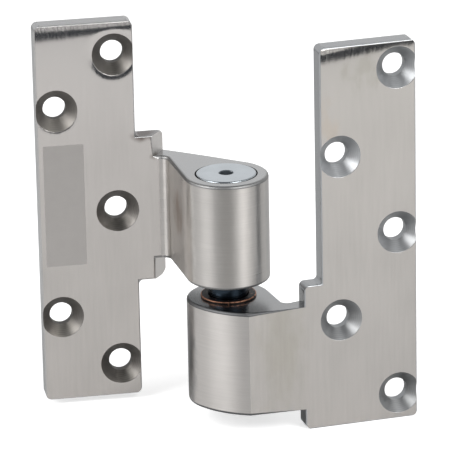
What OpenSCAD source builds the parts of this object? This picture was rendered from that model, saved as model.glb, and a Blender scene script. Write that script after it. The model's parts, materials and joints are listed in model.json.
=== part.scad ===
// Offset pivot hinge: a jamb leaf with the upper knuckle, a door leaf with the lower
// knuckle, and a headed pin that joins them.  The Z axis is the pin's axis, and Z = 0 is
// half way up the jamb leaf.  The jamb leaf lies in a plane of constant Y and looks at -Y.
// The door leaf is drawn in its own frame, with X along the leaf, and then turned.

/* [Leaves] */
// Height of each leaf
leaf_height = 127; // [115:1:160]
// Thickness of each leaf and of the arms that are flush with it
leaf_thickness = 6.35; // [5:0.05:8]
// Distance from the pin's axis to the far edge of each leaf, along the leaf
leaf_reach = 57.15; // [54:0.05:70]
// Width of the plain part of each leaf
leaf_width = 31.75; // [30:0.05:33]
// Radius of the leaves' outer corners
corner_radius = 2.2; // [1:0.1:3]
// Radius that eases the leaves' long edges
edge_radius = 0.5; // [0.3:0.1:1.5]
// Radius in the inner corners between a leaf's tab and its plain part
tab_fillet = 1.5; // [0.8:0.1:3]

/* [Offsets] */
// Distance from the pin's axis to the face of the door leaf
door_offset = 19.05; // [17:0.05:22]
// Gap between the two faces when the door is closed
closed_gap = 3.175; // [2:0.025:5]
// Angle of the door leaf past the flat open position
rest_angle = 6.4; // [0:0.1:20]
// Distance from the pin's axis to the end of the door leaf's tab
door_tab_end = 19.5; // [18:0.1:22]
// Distance from the pin's axis to the end of the jamb leaf's tab, at its face
jamb_tab_end = 20; // [18.5:0.1:22]
// How far the jamb leaf's tab runs on from its face to its back
tab_slant = 4.5; // [0:0.1:4.5]
// How far the tabs reach past the knuckles, above and below
tab_margin = 7; // [4:0.1:9]

/* [Knuckles] */
// Outer diameter of both knuckles
knuckle_diameter = 27; // [25:0.5:29]
// Height of each knuckle and of its arm
knuckle_height = 34.9; // [32:0.1:40]
// Gap between the knuckles
knuckle_gap = 6.2; // [4:0.1:8]
// Side of the jamb arm where it leaves the leaf, from the pin's axis
jamb_arm_side = 15.5; // [14:0.1:17]
// Side of the door arm where it leaves the leaf, from the pin's axis
door_arm_side = 14.4; // [13.6:0.1:16]
// Where the flat face of the door arm turns towards its knuckle, from the pin's axis
door_arm_corner = 1; // [-1:0.1:3]
// Radius of the bowed face between that corner and the knuckle
door_arm_bow = 28; // [24:0.5:40]
// Radius where the jamb arm's side meets its leaf
jamb_arm_fillet = 2.8; // [1:0.1:3.2]
// Radius where the door arm's side meets its leaf
door_arm_fillet = 2.2; // [1:0.1:2.8]

/* [Pin] */
// Diameter of the pin
pin_diameter = 12.7; // [10:0.1:14]
// Diameter of the pin's head, inside the upper knuckle
pin_head_diameter = 16; // [15:0.1:17]
// Height of the pin's head
pin_head_height = 4; // [2:0.5:8]
// Length of the chamfer on the pin's lower end
pin_chamfer = 1; // [0.5:0.1:2]
// Depth that the pin reaches into the lower knuckle
pin_reach = 26.5; // [22:0.5:28]
// Space left under the pin's lower end
pin_end_space = 0.5; // [0.3:0.1:1]

/* [Cap] */
// Diameter of the cap's disc
cap_diameter = 19.3; // [18:0.1:21]
// Height of the cap's disc above the knuckle
cap_proud = 0.3; // [0.1:0.1:1.5]
// Depth of the seat that the disc lies in
cap_seat_depth = 1.5; // [1:0.1:3]
// Radius that rounds the disc's upper edge
cap_edge_radius = 0.5; // [0.2:0.1:0.9]
// Diameter of the cap's threaded shank
cap_shank_diameter = 16.6; // [16:0.1:17.5]
// Length of the cap's shank below the disc
cap_shank_length = 6; // [4:0.5:10]
// Width across the flats of the key socket
socket_width = 4; // [3:0.1:6]
// Depth of the key socket
socket_depth = 4.5; // [3:0.1:6]
// Width of the chamfer at the mouth of the key socket
socket_chamfer = 0.2; // [0.1:0.05:0.5]

/* [Bushing] */
// Wall of the bushing's sleeve
bushing_wall = 1.6; // [1:0.1:2]
// Diameter of the bushing's flange
flange_diameter = 17.9; // [17.5:0.1:20]
// Thickness of the bushing's flange, which lies on the knuckle
flange_thickness = 0.8; // [0.6:0.1:2]
// Length of the bushing's sleeve below its flange
sleeve_length = 24; // [18:0.5:25]
// Chamfer at the mouth of the bushing's bore
bushing_chamfer = 0.3; // [0.1:0.1:0.5]

/* [Screw holes] */
// Diameter of the screw holes
hole_diameter = 7.5; // [6:0.1:8.5]
// Diameter of the countersinks at the face
sink_diameter = 13.9; // [12:0.1:15]
// Angle of the countersinks
sink_angle = 82; // [80:1:100]
// Distance from a leaf's inner edge to its near column of holes
near_inset = 6.35; // [5:0.05:8]
// Distance from the jamb leaf's far edge to its far column of holes
jamb_far_inset = 6.35; // [5:0.05:8]
// Distance from the door leaf's far edge to its far column of holes
door_far_inset = 6.1; // [5:0.1:8]
// Distance from the jamb leaf's ends to its end holes
jamb_end_inset = 10.9; // [8:0.1:14]
// Distance from the jamb leaf's end holes to its far holes, along the leaf
jamb_row_step = 17.6; // [15:0.1:25]
// Distance from the door leaf's ends to its end holes
door_end_inset = 8.7; // [8:0.1:14]

/* [Clearances] */
// Radial clearance of the pin in its bushing
running_clearance = 0.05; // [0.02:0.01:0.1]
// Radial clearance of pieces that are fixed in the knuckles
seat_clearance = 0.02; // [0.01:0.01:0.05]
// Radial gap round the cap's disc in its seat
cap_gap = 0.4; // [0.2:0.05:0.5]

/* [Hidden] */
$fn = 96;

steel = [0.72, 0.70, 0.68];
chrome = [0.80, 0.82, 0.85];
dark_steel = [0.25, 0.25, 0.27];
bronze = [0.62, 0.42, 0.30];

// A cut runs this far past the face that it opens.
past = 1;

knuckle_radius = knuckle_diameter / 2;
leaf_inner = leaf_reach - leaf_width;
// A tab runs this far under the plain part of its leaf.
tab_lap = corner_radius + edge_radius + 1;

// Jamb leaf: its face, its back and the plan points of its tab and arm.
jamb_face = door_offset + closed_gap;
jamb_back = jamb_face + leaf_thickness;
jamb_tab_face = [-jamb_tab_end, jamb_face];
jamb_tab_back = [tab_slant - jamb_tab_end, jamb_back];
jamb_arm_root = [-jamb_arm_side, jamb_face];
jamb_tab_top = knuckle_height / 2 + tab_margin;

// Door leaf: the same, in its own frame.
door_face = -door_offset;
door_back = door_face + leaf_thickness;
door_arm_bend = [door_arm_corner, door_face];
door_arm_root = [door_arm_side, door_back];

// Heights of the knuckles and of the door leaf.
upper_top = knuckle_height / 2;
upper_bottom = -upper_top;
lower_top = upper_bottom - knuckle_gap;
lower_bottom = lower_top - knuckle_height;
door_bottom = lower_bottom - tab_margin;
door_middle = door_bottom + leaf_height / 2;
door_tab_top = lower_top + tab_margin;

// Levels inside the upper knuckle, from the top down.
cap_seat = upper_top - cap_seat_depth;
head_top = cap_seat - cap_shank_length;
head_seat = head_top - pin_head_height;
pin_end = lower_top - pin_reach;

// Rows of screw holes, from the middle of each leaf: the door leaf's five are even.
jamb_end_row = leaf_height / 2 - jamb_end_inset;
jamb_far_row = jamb_end_row - jamb_row_step;
door_row_pitch = (leaf_height / 2 - door_end_inset) / 2;
sink_depth = (sink_diameter - hole_diameter) / 2 / tan(sink_angle / 2);

bushing_bore = pin_diameter / 2 + running_clearance;
sleeve_radius = bushing_bore + bushing_wall;

// Point where the line from p touches the circle of radius r about the origin.
// side is 1 for the touch point anticlockwise of p, and -1 for the other one.
function touch(p, r, side) =
    let (turn = atan2(p[1], p[0]) + side * acos(r / norm(p)))
    [r * cos(turn), r * sin(turn)];

function unit(v) = v / norm(v);

// Square from corner a to corner b with its four corners rounded.
module rounded_square(a, b, r) {
    translate([a[0] + r, a[1]]) square([b[0] - a[0] - 2 * r, b[1] - a[1]]);
    translate([a[0], a[1] + r]) square([b[0] - a[0], b[1] - a[1] - 2 * r]);
    for (x = [a[0] + r, b[0] - r], y = [a[1] + r, b[1] - r]) {
        translate([x, y]) circle(r = r);
    }
}

// Material in the inner corner at p, between the walls that run along u and v.
module corner_fillet(p, u, v, r) {
    half = acos(u * v) / 2;
    run = r / tan(half);
    difference() {
        polygon([p, p + run * u, p + run * v]);
        translate(p + r / sin(half) * unit(u + v)) circle(r = r);
    }
}

// Flat bar between the corners a and b: its outline has rounded corners when it is seen
// along Y, and its long edges are eased at the front and at the back.
module eased_bar(a, b) {
    intersection() {
        translate([0, b[1], 0]) rotate([90, 0, 0])
            linear_extrude(b[1] - a[1]) rounded_square([a[0], a[2]], [b[0], b[2]], corner_radius);
        translate([0, 0, a[2]])
            linear_extrude(b[2] - a[2]) rounded_square([a[0], a[1]], [b[0], b[1]], edge_radius);
        translate([a[0], 0, 0]) rotate([90, 0, 90])
            linear_extrude(b[0] - a[0]) rounded_square([a[1], a[2]], [b[1], b[2]], edge_radius);
    }
}

// Fillet between a tab's upper edge at height z and the plain part's inner edge at x.
// side is 1 where the tab lies on the +X side of that edge and -1 on the other, and up is
// 1 for the tab's upper edge and -1 for its lower edge.
module tab_corner(x, z, face, side, up) {
    translate([0, face + leaf_thickness - edge_radius, 0]) rotate([90, 0, 0])
        linear_extrude(leaf_thickness - 2 * edge_radius)
            corner_fillet([x, z], [side, 0], [0, up], tab_fillet);
}

// Countersunk screw hole at [x, z] in a leaf whose face is at y = face and looks at -Y.
module screw_hole(x, z, face) {
    translate([x, face, z]) rotate([-90, 0, 0]) {
        translate([0, 0, -past]) cylinder(d = hole_diameter, h = leaf_thickness + 2 * past);
        cylinder(d1 = sink_diameter, d2 = hole_diameter, h = sink_depth);
        translate([0, 0, -past]) cylinder(d = sink_diameter, h = past);
    }
}

// Knuckle with its arm, from z = bottom to z = top.  The arm's plan is given as children.
module knuckle(bottom) {
    translate([0, 0, bottom]) {
        cylinder(r = knuckle_radius, h = knuckle_height);
        linear_extrude(knuckle_height) children();
    }
}

// Plan of the jamb arm: its back and its side are tangents of the knuckle.
module jamb_arm() {
    back_touch = touch(jamb_tab_back, knuckle_radius, -1);
    side_touch = touch(jamb_arm_root, knuckle_radius, 1);
    polygon([jamb_tab_face, jamb_tab_back, back_touch, [0, 0], side_touch, jamb_arm_root]);
    corner_fillet(jamb_arm_root, [-1, 0], unit(side_touch - jamb_arm_root), jamb_arm_fillet);
}

// Plan of the door arm: it stays flush with both sides of its leaf as far as the knuckle,
// and its face bows out between its corner and the knuckle.
module door_arm() {
    side_touch = touch(door_arm_root, knuckle_radius, 1);
    reach = norm(door_arm_bend);
    offset = door_arm_bow - knuckle_radius;
    // The bow is a circle that touches the knuckle's from outside and passes the corner.
    lean = acos((2 * door_arm_bow * knuckle_radius - pow(knuckle_radius, 2) - pow(reach, 2))
                / (2 * offset * reach));
    turn = atan2(door_arm_bend[1], door_arm_bend[0]) - lean;
    bow_touch = knuckle_radius * [cos(turn), sin(turn)];
    polygon([
        door_arm_bend, [door_tab_end + tab_lap, door_face], [door_tab_end + tab_lap, door_back],
        door_arm_root, side_touch, [0, 0]
    ]);
    intersection() {
        translate(-offset * [cos(turn), sin(turn)]) circle(r = door_arm_bow);
        polygon([[0, 0], bow_touch, door_arm_bow * (unit(bow_touch) + unit(door_arm_bend)), door_arm_bend]);
    }
    corner_fillet(door_arm_root, [1, 0], unit(side_touch - door_arm_root), door_arm_fillet);
}

// Plate of the jamb leaf, with a tab about its middle whose end is cut on the slant.
module jamb_plate() {
    lap = leaf_inner + tab_lap;
    eased_bar([-leaf_reach, jamb_face, -leaf_height / 2],
              [-leaf_inner, jamb_back, leaf_height / 2]);
    intersection() {
        eased_bar([-lap - corner_radius, jamb_face, -jamb_tab_top],
                  [tab_slant - jamb_tab_end, jamb_back, jamb_tab_top]);
        translate([0, 0, -jamb_tab_top]) linear_extrude(2 * jamb_tab_top)
            polygon([[-lap, jamb_face], jamb_tab_face, jamb_tab_back, [-lap, jamb_back]]);
    }
    for (up = [-1, 1]) {
        tab_corner(-leaf_inner, up * jamb_tab_top, jamb_face, 1, up);
    }
}

// Plate of the door leaf, whose lower part is a tab down to its lower edge.
module door_plate() {
    top = door_bottom + leaf_height;
    eased_bar([leaf_inner, door_face, door_bottom], [leaf_reach, door_back, top]);
    eased_bar([door_tab_end, door_face, door_bottom],
              [leaf_inner + tab_lap + corner_radius, door_back, door_tab_top]);
    tab_corner(leaf_inner, door_tab_top, door_face, -1, 1);
}

// Fixed leaf with the upper knuckle, bored in steps for the pin, its head and the cap.
module jamb_leaf() {
    head_radius = pin_head_diameter / 2 + seat_clearance;
    color(steel) difference() {
        union() {
            jamb_plate();
            knuckle(upper_bottom) jamb_arm();
        }
        translate([0, 0, upper_bottom - past])
            cylinder(r = pin_diameter / 2 + seat_clearance, h = knuckle_height);
        translate([0, 0, head_seat]) cylinder(r = head_radius, h = pin_head_height);
        translate([0, 0, head_top])
            cylinder(d = cap_shank_diameter + 2 * seat_clearance, h = cap_shank_length);
        translate([0, 0, cap_seat])
            cylinder(d = cap_diameter + 2 * cap_gap, h = cap_seat_depth + past);
        for (z = [-jamb_end_row, 0, jamb_end_row]) {
            screw_hole(-leaf_inner - near_inset, z, jamb_face);
        }
        for (z = [-jamb_far_row, jamb_far_row]) {
            screw_hole(jamb_far_inset - leaf_reach, z, jamb_face);
        }
    }
}

// Swinging leaf with the lower knuckle, which has a blind bore for the bushing.
module door_leaf() {
    bore_depth = max(sleeve_length, pin_reach) + pin_end_space;
    color(steel) rotate([0, 0, rest_angle]) difference() {
        union() {
            door_plate();
            knuckle(lower_bottom) door_arm();
        }
        translate([0, 0, lower_top - bore_depth])
            cylinder(r = sleeve_radius + seat_clearance, h = bore_depth + past);
        for (row = [-2, 0, 2]) {
            screw_hole(leaf_reach - door_far_inset, door_middle + row * door_row_pitch, door_face);
        }
        for (row = [-1, 1]) {
            screw_hole(leaf_inner + near_inset, door_middle + row * door_row_pitch, door_face);
        }
    }
}

// Headed pin: it hangs by its head in the upper knuckle and turns in the bushing below.
module pivot_pin() {
    radius = pin_diameter / 2;
    color(dark_steel) rotate_extrude() polygon([
        [0, pin_end], [radius - pin_chamfer, pin_end], [radius, pin_end + pin_chamfer],
        [radius, head_seat], [pin_head_diameter / 2, head_seat],
        [pin_head_diameter / 2, head_top], [0, head_top]
    ]);
}

// Screw cap that holds the pin's head down, with a hexagonal key socket in its disc.
module pin_cap() {
    disc_top = upper_top + cap_proud;
    disc_height = disc_top - cap_seat;
    disc_radius = cap_diameter / 2;
    socket_diameter = socket_width / cos(30);
    color(chrome) difference() {
        union() {
            translate([0, 0, head_top]) cylinder(d = cap_shank_diameter, h = cap_shank_length);
            translate([0, 0, cap_seat]) rotate_extrude() {
                square([disc_radius - cap_edge_radius, disc_height]);
                square([disc_radius, disc_height - cap_edge_radius]);
                translate([disc_radius - cap_edge_radius, disc_height - cap_edge_radius])
                    intersection() {
                        circle(r = cap_edge_radius);
                        square(cap_edge_radius);
                    }
            }
        }
        translate([0, 0, disc_top - socket_depth])
            cylinder(d = socket_diameter, h = socket_depth + past, $fn = 6);
        translate([0, 0, disc_top - socket_chamfer])
            cylinder(d1 = socket_diameter, d2 = socket_diameter + 2 * socket_chamfer, h = socket_chamfer);
    }
}

// Flanged bushing of sintered bronze in the lower knuckle.
module door_bushing() {
    top = lower_top + flange_thickness;
    bottom = lower_top - sleeve_length;
    color(bronze) rotate_extrude() polygon([
        [bushing_bore, bottom], [sleeve_radius, bottom], [sleeve_radius, lower_top],
        [flange_diameter / 2, lower_top], [flange_diameter / 2, top],
        [bushing_bore + bushing_chamfer, top], [bushing_bore, top - bushing_chamfer]
    ]);
}

jamb_leaf();
pivot_pin();
pin_cap();
door_leaf();
door_bushing();
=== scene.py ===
"""Dresses the offset pivot hinge and sets up the studio that shows it.

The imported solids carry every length.  The leaves, the cap and the bushing are copies of
their solids, merged and given the eased edges, the broken screw seats and the buffed,
belted, turned and plated finishes of the real parts.  The pin keeps its solid and turns
black.  A blank film lies on the jamb leaf.
"""

import itertools
import json
import logging
import math
from dataclasses import dataclass, replace
from enum import Enum
from typing import Callable, Iterable, Sequence

import bmesh
import bpy
from mathutils import Matrix, Vector
from mathutils.bvhtree import BVHTree


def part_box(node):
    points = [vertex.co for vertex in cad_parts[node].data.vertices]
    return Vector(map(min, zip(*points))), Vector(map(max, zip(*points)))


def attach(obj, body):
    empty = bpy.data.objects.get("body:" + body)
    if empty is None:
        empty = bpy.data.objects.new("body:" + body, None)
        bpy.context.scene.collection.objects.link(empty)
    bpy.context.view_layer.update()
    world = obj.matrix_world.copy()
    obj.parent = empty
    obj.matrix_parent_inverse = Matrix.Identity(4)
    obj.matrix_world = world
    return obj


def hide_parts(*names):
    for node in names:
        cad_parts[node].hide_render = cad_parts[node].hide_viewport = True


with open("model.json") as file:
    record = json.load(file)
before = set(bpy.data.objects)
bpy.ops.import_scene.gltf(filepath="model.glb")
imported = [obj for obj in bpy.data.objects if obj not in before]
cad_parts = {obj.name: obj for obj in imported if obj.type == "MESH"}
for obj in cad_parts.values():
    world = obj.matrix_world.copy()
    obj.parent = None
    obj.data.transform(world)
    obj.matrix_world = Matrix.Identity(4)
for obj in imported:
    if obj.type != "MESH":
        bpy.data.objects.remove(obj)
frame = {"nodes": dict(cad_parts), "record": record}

LOG = logging.getLogger("pivot_hinge")
MM = 0.001
# Levels closer than HAIR are one level, and points closer than WELD are one point.
HAIR = 0.01 * MM
WELD = 0.002 * MM
LEAF_THICKNESS = 6.35 * MM
DOOR_OFFSET = 19.05 * MM
CAP_PROUD = 0.3 * MM
FLANGE_PROUD = 0.8 * MM
FLOOR_GAP = 0.02 * MM
WHITE = (1.0, 1.0, 1.0)
BLACK = (0.0, 0.0, 0.0)
NOISE_RANGE = (0.3, 0.7)
Colour = tuple[float, float, float]
FaceTest = Callable[[Vector, Vector], bool]
EdgeTest = Callable[[Vector, Vector, float], bool]


def mm(*lengths: float) -> tuple[float, ...]:
    """Gives lengths in millimetres as metres."""
    return tuple(length * MM for length in lengths)


class Grain(Enum):
    """Direction in which a metal surface was worked."""

    LEVEL = "level"
    UPRIGHT = "upright"
    TURNED = "turned"
    CAST = "cast"


class Wiring:
    """A node tree and short ways to wire its nodes."""

    def __init__(self, tree: bpy.types.NodeTree) -> None:
        """Empties a node tree.

        Args:
            tree: Node tree of a material or a world.
        """
        self.tree = tree
        self.tree.nodes.clear()

    def node(
        self, kind: str, inputs: dict[str | int, object] | None = None, **values: object
    ) -> bpy.types.Node:
        """Adds a node.

        Args:
            kind: Blender's name of the node type.
            inputs: Plain values and sockets for the node's inputs, by name or number.
            values: Attributes of the node to set.

        Returns:
            The new node.
        """
        made = self.tree.nodes.new(kind)
        for name, value in values.items():
            setattr(made, name, value)
        self.feed(made, inputs or {})
        return made

    def feed(self, node: bpy.types.Node, inputs: dict[str | int, object]) -> None:
        """Links or sets some of a node's inputs.

        Args:
            node: The node to feed.
            inputs: Plain values and sockets for its inputs, by name or number.
        """
        for key, value in inputs.items():
            if isinstance(value, bpy.types.NodeSocket):
                self.tree.links.new(value, node.inputs[key])
            else:
                node.inputs[key].default_value = value

    def place(self, scale: Sequence[float], turn: float = 0.0) -> bpy.types.NodeSocket:
        """Gives the object's own coordinates, turned about Z and then scaled.

        Args:
            scale: Scale along the three axes, in turns per metre.
            turn: Angle about Z in radians that brings a leaf square to the axes.

        Returns:
            The socket of the mapped coordinates.
        """
        coords = self.node("ShaderNodeTexCoord").outputs["Object"]
        squared = self.node("ShaderNodeMapping", {"Rotation": (0.0, 0.0, -turn), "Vector": coords})
        scaled = self.node("ShaderNodeMapping", {"Scale": tuple(scale), "Vector": squared.outputs["Vector"]})
        return scaled.outputs["Vector"]

    def noise(
        self, where: bpy.types.NodeSocket, scale: float, detail: float = 4.0, rough: float = 0.55
    ) -> bpy.types.NodeSocket:
        """Gives a noise factor at the mapped coordinates."""
        inputs = {"Scale": scale, "Detail": detail, "Roughness": rough, "Vector": where}
        return self.node("ShaderNodeTexNoise", inputs).outputs["Fac"]

    def sums(self, kind: str, *values: object) -> bpy.types.NodeSocket:
        """Gives the result of a Math node of the named kind."""
        return self.node("ShaderNodeMath", dict(enumerate(values)), operation=kind).outputs[0]

    def product(self, first: object, second: object) -> bpy.types.NodeSocket:
        """Gives the product of two numbers."""
        return self.sums("MULTIPLY", first, second)

    def span(
        self, value: bpy.types.NodeSocket, low: float, high: float, to_low: float, to_high: float,
        smooth: bool = False,
    ) -> bpy.types.NodeSocket:
        """Maps a range of the value onto another range, clamped at both ends."""
        inputs = dict(enumerate((value, low, high, to_low, to_high)))
        kind = "SMOOTHSTEP" if smooth else "LINEAR"
        return self.node("ShaderNodeMapRange", inputs, interpolation_type=kind).outputs["Result"]

    def tint(
        self, factor: bpy.types.NodeSocket, stops: Sequence[tuple[float, Colour]]
    ) -> bpy.types.NodeSocket:
        """Maps a factor onto colours through a ramp with the given stops."""
        ramp = self.node("ShaderNodeValToRGB", {"Fac": factor})
        marks = ramp.color_ramp.elements
        while len(marks) < len(stops):
            marks.new(0.5)
        for mark, (spot, colour) in zip(marks, stops):
            mark.position = spot
            mark.color = (*colour, 1.0)
        return ramp.outputs["Color"]

    def shades(self, factor: bpy.types.NodeSocket, dark: Colour, light: Colour) -> bpy.types.NodeSocket:
        """Gives a colour that a noise factor takes from a dark one to a light one."""
        return self.tint(factor, tuple(zip(NOISE_RANGE, (dark, light))))

    def times(self, first: bpy.types.NodeSocket, second: bpy.types.NodeSocket) -> bpy.types.NodeSocket:
        """Gives the product of two colours."""
        made = self.node("ShaderNodeVectorMath", {0: first, 1: second}, operation="MULTIPLY")
        return made.outputs["Vector"]

    def between(
        self, value: bpy.types.NodeSocket, low: float, high: float, soft: float
    ) -> bpy.types.NodeSocket:
        """Gives 1 where the value is between two limits and 0 outside, with soft sides."""
        rise = self.span(value, low - soft, low + soft, 0.0, 1.0, True)
        fall = self.span(value, high - soft, high + soft, 1.0, 0.0, True)
        return self.product(rise, fall)

    def bump(
        self, height: bpy.types.NodeSocket, under: bpy.types.NodeSocket | None = None
    ) -> bpy.types.NodeSocket:
        """Turns a height in metres into a normal, over an earlier normal."""
        inputs = {"Strength": 1.0, "Distance": 1.0, "Height": height}
        if under is not None:
            inputs["Normal"] = under
        return self.node("ShaderNodeBump", inputs).outputs["Normal"]


class Sheet(Wiring):
    """A new material with one shader."""

    def __init__(self, name: str) -> None:
        """Starts the material.

        Args:
            name: Name of the material, in a maker's words.
        """
        self.material = bpy.data.materials.new(name)
        self.material.use_nodes = True
        super().__init__(self.material.node_tree)
        self.shader = self.node("ShaderNodeBsdfPrincipled")
        self.node("ShaderNodeOutputMaterial", {"Surface": self.shader.outputs["BSDF"]})

    def made(self, inputs: dict[str, object]) -> bpy.types.Material:
        """Feeds the shader and gives the finished material.

        Args:
            inputs: Plain values and sockets for the shader's inputs, by name.

        Returns:
            The material.
        """
        self.feed(self.shader, inputs)
        return self.material


@dataclass(frozen=True)
class Crown:
    """Rounding that the buffing wheel left below an upper edge.

    Args:
        top: Level of the edge.
        start: X of the rounding's strong end, in the leaf's own frame.
        end: X of its weak end.
        reach: How far down it reaches at the strong end and at the weak end.
        slope: How steep it is at the edge, at the strong end and at the weak end.
        fade: Length over which it sets in after its start, or nought.
    """

    top: float
    start: float
    end: float
    reach: tuple[float, float]
    slope: tuple[float, float]
    fade: float = 0.0


@dataclass(frozen=True)
class Lip:
    """Rounding that the buffing wheel left round a screw seat.

    Args:
        x: X of the seat's axis in the leaf's own frame.
        z: Level of the seat's axis.
        radius: Radius of the seat's rim.
        reach: How far it reaches from the rim.
        slope: How steep it is at the rim.
    """

    x: float
    z: float
    radius: float
    reach: float
    slope: float


@dataclass(frozen=True)
class TarnishAndPaintedLight:
    """Soft patch that multiplies the metal's colour; some patches are real tarnish, the others are painted
    shade and painted highlights.

    Args:
        centre: Middle of the patch in the leaf's own frame.
        size: Half lengths of the patch along the leaf's own axes.
        tint: Colour that the metal's own colour is multiplied by in the middle.
        ragged: How far noise breaks the patch up, from 0 to 1.
    """

    centre: tuple[float, float, float]
    size: tuple[float, float, float]
    tint: Colour
    ragged: float = 0.5


@dataclass(frozen=True)
class Steel:
    """Stainless steel worked in one direction.

    Args:
        name: Name of the material.
        colour: Base colour of the metal.
        shade: How far the colour wanders, as a share of itself.
        roughness: Mean roughness.
        swing: How far the roughness wanders.
        grain: Direction of the marks.
        depth: Height of the marks in metres.
        stretch: Anisotropy of the highlight.
        turn: Angle of the leaf about Z, in radians.
        wave: Height of the slow waviness left by hand work, in metres.
        ripple: How often the waviness comes along the three axes, per metre.
        crowns: Roundings below upper edges.
        lips: Roundings round screw seats.
        tones: Levels and the tints that the colour takes there, as painted shade and painted reflection by
            height.
        tarnish_and_painted_light: Patches of tarnish, and patches of painted shade and painted highlight.
    """

    name: str
    colour: Colour
    shade: float = 0.05
    roughness: float = 0.25
    swing: float = 0.05
    grain: Grain = Grain.CAST
    depth: float = 0.4e-6
    stretch: float = 0.0
    turn: float = 0.0
    wave: float = 0.0
    ripple: tuple[float, float, float] = (22.0, 22.0, 16.0)
    crowns: tuple[Crown, ...] = ()
    lips: tuple[Lip, ...] = ()
    tones: tuple[tuple[float, Colour], ...] = ()
    tarnish_and_painted_light: tuple[TarnishAndPaintedLight, ...] = ()

    def material(self) -> bpy.types.Material:
        """Builds the node tree and gives the material."""
        sheet = Sheet(self.name)
        marks = self._marks(sheet)
        clouds = sheet.noise(sheet.place((60.0, 60.0, 38.0), self.turn), 1.0, 3.0, 0.5)
        light = tuple(min(1.0, c * (1 + self.shade)) for c in self.colour)
        dark = tuple(c * (1 - self.shade) for c in self.colour)
        blend = sheet.sums("ADD", sheet.product(clouds, 0.5), sheet.product(marks, 0.5))
        normal = None
        if self.wave:
            swell = sheet.noise(sheet.place(self.ripple, self.turn), 1.0, 2.0, 0.4)
            normal = sheet.bump(sheet.product(swell, self.wave))
        if self.crowns or self.lips:
            normal = sheet.bump(self._rolled_off(sheet), normal)
        smoothest, roughest = self.roughness - self.swing, self.roughness + self.swing
        inputs = {
            "Metallic": 1.0,
            "Base Color": self._toned(sheet, sheet.shades(blend, dark, light)),
            "Roughness": sheet.span(blend, *NOISE_RANGE, smoothest, roughest),
            "Anisotropic": self.stretch,
            "Normal": sheet.bump(sheet.product(marks, self.depth), normal),
        }
        if self.stretch:
            tangent = sheet.node("ShaderNodeTangent", direction_type="RADIAL", axis="Z")
            inputs |= {"Anisotropic Rotation": 0.25, "Tangent": tangent.outputs["Tangent"]}
        return sheet.made(inputs)

    def _marks(self, sheet: Sheet) -> bpy.types.NodeSocket:
        """Gives the pattern of the working marks.

        Args:
            sheet: The material that is being built.

        Returns:
            A socket that runs from about 0 to 1.
        """
        scale = {
            Grain.LEVEL: (70.0, 70.0, 2600.0),
            Grain.UPRIGHT: (900.0, 900.0, 55.0),
            Grain.TURNED: (700.0, 700.0, 700.0),
            Grain.CAST: (900.0, 900.0, 900.0),
        }[self.grain]
        marks = sheet.noise(sheet.place(scale, self.turn), 1.0, 5.0, 0.6)
        if self.grain is not Grain.TURNED:
            return marks
        seat = sheet.node("ShaderNodeAttribute", attribute_name="seat", attribute_type="GEOMETRY")
        rings = sheet.node(
            "ShaderNodeTexWave",
            {"Scale": 700.0, "Distortion": 1.2, "Detail": 2.0, "Vector": seat.outputs["Vector"]},
            wave_type="BANDS", bands_direction="X",
        )
        return sheet.sums("ADD", sheet.product(rings.outputs["Fac"], 0.4), sheet.product(marks, 0.6))

    def _toned(self, sheet: Sheet, colour: bpy.types.NodeSocket) -> bpy.types.NodeSocket:
        """Gives the colour with its tones by level and its patches of tarnish, painted shade and painted
        highlight.

        Args:
            sheet: The material that is being built.
            colour: Colour of the clean metal.

        Returns:
            The socket of the finished colour.
        """
        where = sheet.place((1.0, 1.0, 1.0), self.turn)
        # Tones by level are painted shade and painted reflection: the colour is darker or lighter by height.
        if self.tones:
            split = sheet.node("ShaderNodeSeparateXYZ", {"Vector": where})
            low, high = self.tones[0][0], self.tones[-1][0]
            level = sheet.span(split.outputs["Z"], low, high, 0.0, 1.0)
            stops = tuple(((z - low) / (high - low), tint) for z, tint in self.tones)
            colour = sheet.times(colour, sheet.tint(level, stops))
        # Each patch multiplies the colour: real tarnish, painted shade and painted highlight alike.
        for tint_spot in self.tarnish_and_painted_light:
            inputs = {"Location": tint_spot.centre, "Scale": tint_spot.size, "Vector": where}
            away = sheet.node("ShaderNodeMapping", inputs, vector_type="TEXTURE")
            length = sheet.node("ShaderNodeVectorMath", {0: away.outputs["Vector"]}, operation="LENGTH")
            torn = sheet.noise(sheet.place((300.0, 300.0, 140.0), self.turn), 1.0, 4.0, 0.6)
            shift = sheet.span(torn, *NOISE_RANGE, -tint_spot.ragged, tint_spot.ragged)
            spread = sheet.sums("ADD", length.outputs["Value"], shift)
            share = sheet.span(spread, 0.1, 1.0, 1.0, 0.0, True)
            colour = sheet.times(colour, sheet.tint(share, ((0.0, WHITE), (1.0, tint_spot.tint))))
        return colour

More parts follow.
